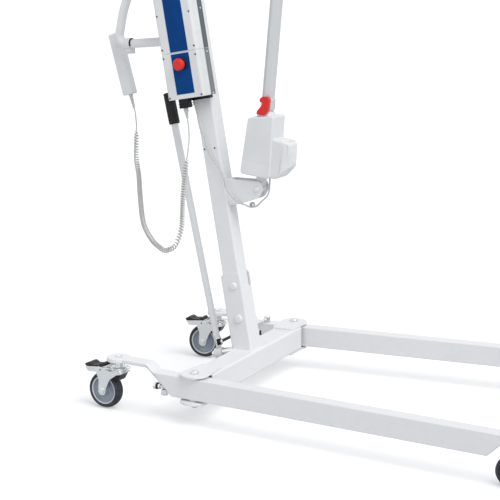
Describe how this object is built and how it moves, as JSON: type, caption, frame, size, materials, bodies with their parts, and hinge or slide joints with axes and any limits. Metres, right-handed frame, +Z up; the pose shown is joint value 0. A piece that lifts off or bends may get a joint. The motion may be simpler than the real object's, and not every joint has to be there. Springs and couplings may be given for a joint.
{
  "type": "electric patient lift",
  "caption": "Floor lift with two spreading legs on casters, a leaning mast, an electric actuator that raises a boom with a spreader bar, a push handle, battery box and hand control.",
  "frame": {"origin": "on the floor, under the centre of the box of the lift without its cords", "axes": "+Z up; the legs open towards -Y and the push handle is at +Y; the control box is on the -X side, which is the lift's right seen from the handle"},
  "size_m": [0.805, 1.375, 1.6364],
  "materials": {
    "grey_paint": "satin light grey powder coat",
    "light_plastic": "light grey moulded, fine texture",
    "dark_plastic": "dark slate, matt",
    "black_plastic": "black, matt",
    "zinc": "zinc plated, pressed",
    "steel": "bright turned",
    "rim_plastic": "blue-grey moulded",
    "tyre_rubber": "dark blue-grey, smooth tread",
    "red_plastic": "red, semi-gloss",
    "cord_grey": "grey sheath"
  },
  "bodies": {
    "base": {"cross_beam": "grey_paint", "pivot_bolt_right": "steel", "pivot_bolt_left": "steel", "mast_foot": "grey_paint", "mast": "grey_paint", "mast_bolt_lower": "steel", "mast_bolt_upper": "steel", "mast_head": "grey_paint", "boom_pivot_bolt": "steel", "push_handle": "grey_paint", "battery_rail": "dark_plastic", "control_unit": "light_plastic", "handset_socket": "black_plastic", "actuator_socket": "black_plastic", "handset_plug": "cord_grey", "actuator_plug": "cord_grey", "actuator_bracket": "grey_paint", "actuator_pin": "steel", "lever_bracket": "zinc", "handset_hook": "light_plastic", "handset_body": "light_plastic", "handset_relief": "cord_grey", "handset_curly_cord": "cord_grey", "handset_lead": "cord_grey", "plug_lead": "cord_grey", "actuator_cable": "cord_grey"},
    "battery": {"battery_pack": "light_plastic"},
    "stop_button": {"emergency_stop": "red_plastic"},
    "button_up": {"handset_button_up": "dark_plastic"},
    "button_down": {"handset_button_down": "dark_plastic"},
    "boom": {"boom": "grey_paint"},
    "hanger": {"spreader_hanger": "zinc"},
    "spreader": {"spreader_bar": "grey_paint"},
    "actuator": {"actuator_housing": "light_plastic", "actuator_tube": "grey_paint"},
    "rod": {"actuator_rod": "steel"},
    "release": {"quick_release": "red_plastic"},
    "lever": {"spread_lever": "grey_paint", "lever_grip": "black_plastic"},
    "tie_left": {"tie_rod_left": "black_plastic"},
    "tie_right": {"tie_rod_right": "black_plastic"},
    "leg_right": {"leg_right": "grey_paint", "leg_stop_right": "zinc"},
    "rear_caster_right": {"rear_fork_right": "zinc"},
    "rear_wheel_right": {"rear_rim_right": "rim_plastic", "rear_tyre_right": "tyre_rubber"},
    "brake_right": {"brake_pedal_right": "black_plastic"},
    "front_caster_right": {"front_fork_right": "zinc"},
    "front_roller_right": {"front_wheel_right": "tyre_rubber"},
    "leg_left": {"leg_left": "grey_paint", "leg_stop_left": "zinc"},
    "rear_caster_left": {"rear_fork_left": "zinc"},
    "rear_wheel_left": {"rear_rim_left": "rim_plastic", "rear_tyre_left": "tyre_rubber"},
    "brake_left": {"brake_pedal_left": "black_plastic"},
    "front_caster_left": {"front_fork_left": "zinc"},
    "front_roller_left": {"front_wheel_left": "tyre_rubber"}
  },
  "joints": [
    {"name": "lever_swing", "type": "hinge", "parent": "base", "child": "lever", "pos_m": [0, 0.32681, 0.107], "axis": [0, 0.965, -0.2622], "range_deg": [-23.54, 13.46]},
    {"name": "tie_left_turn", "type": "hinge", "parent": "lever", "child": "tie_left", "pos_m": [0.00264, 0.33464, 0.13584], "axis": [0, 0.965, -0.2622], "range_deg": [-13.46, 23.54]},
    {"name": "tie_right_turn", "type": "hinge", "parent": "lever", "child": "tie_right", "pos_m": [-0.00296, 0.318, 0.0746], "axis": [0, 0.965, -0.2622], "range_deg": [-13.46, 23.54]},
    {"name": "leg_right_swing", "type": "hinge", "parent": "base", "child": "leg_right", "pos_m": [-0.305, 0.23981, 0.1], "axis": [0, 0, -1], "range_deg": [-4.73, 8.27]},
    {"name": "rear_swivel_right", "type": "hinge", "parent": "leg_right", "child": "rear_caster_right", "pos_m": [-0.28488, 0.48298, 0.12], "axis": [0, 0, 1], "continuous": true},
    {"name": "rear_spin_right", "type": "hinge", "parent": "rear_caster_right", "child": "rear_wheel_right", "pos_m": [-0.28125, 0.52683, 0.05], "axis": [0.9966, -0.0825, 0], "continuous": true},
    {"name": "brake_press_right", "type": "hinge", "parent": "rear_caster_right", "child": "brake_right", "pos_m": [-0.28232, 0.51387, 0.113], "axis": [-0.9966, 0.0825, 0], "range_deg": [0, 8]},
    {"name": "front_swivel_right", "type": "hinge", "parent": "leg_right", "child": "front_caster_right", "pos_m": [-0.37963, -0.66211, 0.1], "axis": [0, 0, 1], "continuous": true},
    {"name": "front_spin_right", "type": "hinge", "parent": "front_caster_right", "child": "front_roller_right", "pos_m": [-0.37748, -0.6362, 0.0375], "axis": [0.9966, -0.0825, 0], "continuous": true},
    {"name": "leg_left_swing", "type": "hinge", "parent": "base", "child": "leg_left", "pos_m": [0.305, 0.23981, 0.1], "axis": [0, 0, 1], "range_deg": [-4.73, 8.27]},
    {"name": "rear_swivel_left", "type": "hinge", "parent": "leg_left", "child": "rear_caster_left", "pos_m": [0.28488, 0.48298, 0.12], "axis": [0, 0, 1], "continuous": true},
    {"name": "rear_spin_left", "type": "hinge", "parent": "rear_caster_left", "child": "rear_wheel_left", "pos_m": [0.28125, 0.52683, 0.05], "axis": [0.9966, 0.0825, 0], "continuous": true},
    {"name": "brake_press_left", "type": "hinge", "parent": "rear_caster_left", "child": "brake_left", "pos_m": [0.28232, 0.51387, 0.113], "axis": [-0.9966, -0.0825, 0], "range_deg": [0, 8]},
    {"name": "front_swivel_left", "type": "hinge", "parent": "leg_left", "child": "front_caster_left", "pos_m": [0.37963, -0.66211, 0.1], "axis": [0, 0, 1], "continuous": true},
    {"name": "front_spin_left", "type": "hinge", "parent": "front_caster_left", "child": "front_roller_left", "pos_m": [0.37748, -0.6362, 0.0375], "axis": [0.9966, 0.0825, 0], "continuous": true},
    {"name": "boom_lift", "type": "hinge", "parent": "base", "child": "boom", "pos_m": [0, 0.45387, 1.40026], "axis": [-1, 0, 0], "range_deg": [-40, 10]},
    {"name": "actuator_tilt", "type": "hinge", "parent": "base", "child": "actuator", "pos_m": [0, 0.19881, 0.585], "axis": [1, 0, 0], "range_deg": [-1.21, 0.31]},
    {"name": "rod_slide", "type": "slide", "parent": "actuator", "child": "rod", "axis": [0, -0.0895, 0.996], "range_m": [-0.22625, 0.0566]},
    {"name": "release_pull", "type": "slide", "parent": "actuator", "child": "release", "axis": [0, -0.0895, 0.996], "range_m": [0, 0.006], "stiffness_N_per_m": 300},
    {"name": "spreader_swing", "type": "hinge", "parent": "boom", "child": "hanger", "pos_m": [0, -0.37682, 1.62285], "axis": [1, 0, 0], "range_deg": [-70, 24]},
    {"name": "spreader_swivel", "type": "hinge", "parent": "hanger", "child": "spreader", "pos_m": [0, -0.37682, 1.51285], "axis": [0, 0, 1], "continuous": true},
    {"name": "battery_lift_off", "type": "slide", "parent": "base", "child": "battery", "axis": [0, 0.1719, 0.9851], "range_m": [0, 0.1]},
    {"name": "stop_press", "type": "slide", "parent": "base", "child": "stop_button", "axis": [1, 0, 0], "range_m": [0, 0.004]},
    {"name": "up_press", "type": "slide", "parent": "base", "child": "button_up", "axis": [-1, 0, 0], "range_m": [0, 0.0015], "stiffness_N_per_m": 400},
    {"name": "down_press", "type": "slide", "parent": "base", "child": "button_down", "axis": [-1, 0, 0], "range_m": [0, 0.0015], "stiffness_N_per_m": 400}
  ],
  "couplings": [
    {"joint": "leg_right_swing", "follows": "lever_swing", "ratio": -0.35135},
    {"joint": "leg_left_swing", "follows": "lever_swing", "ratio": -0.35135},
    {"joint": "tie_left_turn", "follows": "lever_swing", "ratio": -1},
    {"joint": "tie_right_turn", "follows": "lever_swing", "ratio": -1},
    {"joint": "actuator_tilt", "follows": "boom_lift", "ratio": 0.03},
    {"joint": "rod_slide", "follows": "boom_lift", "m_per_rad": 0.324}
  ]
}
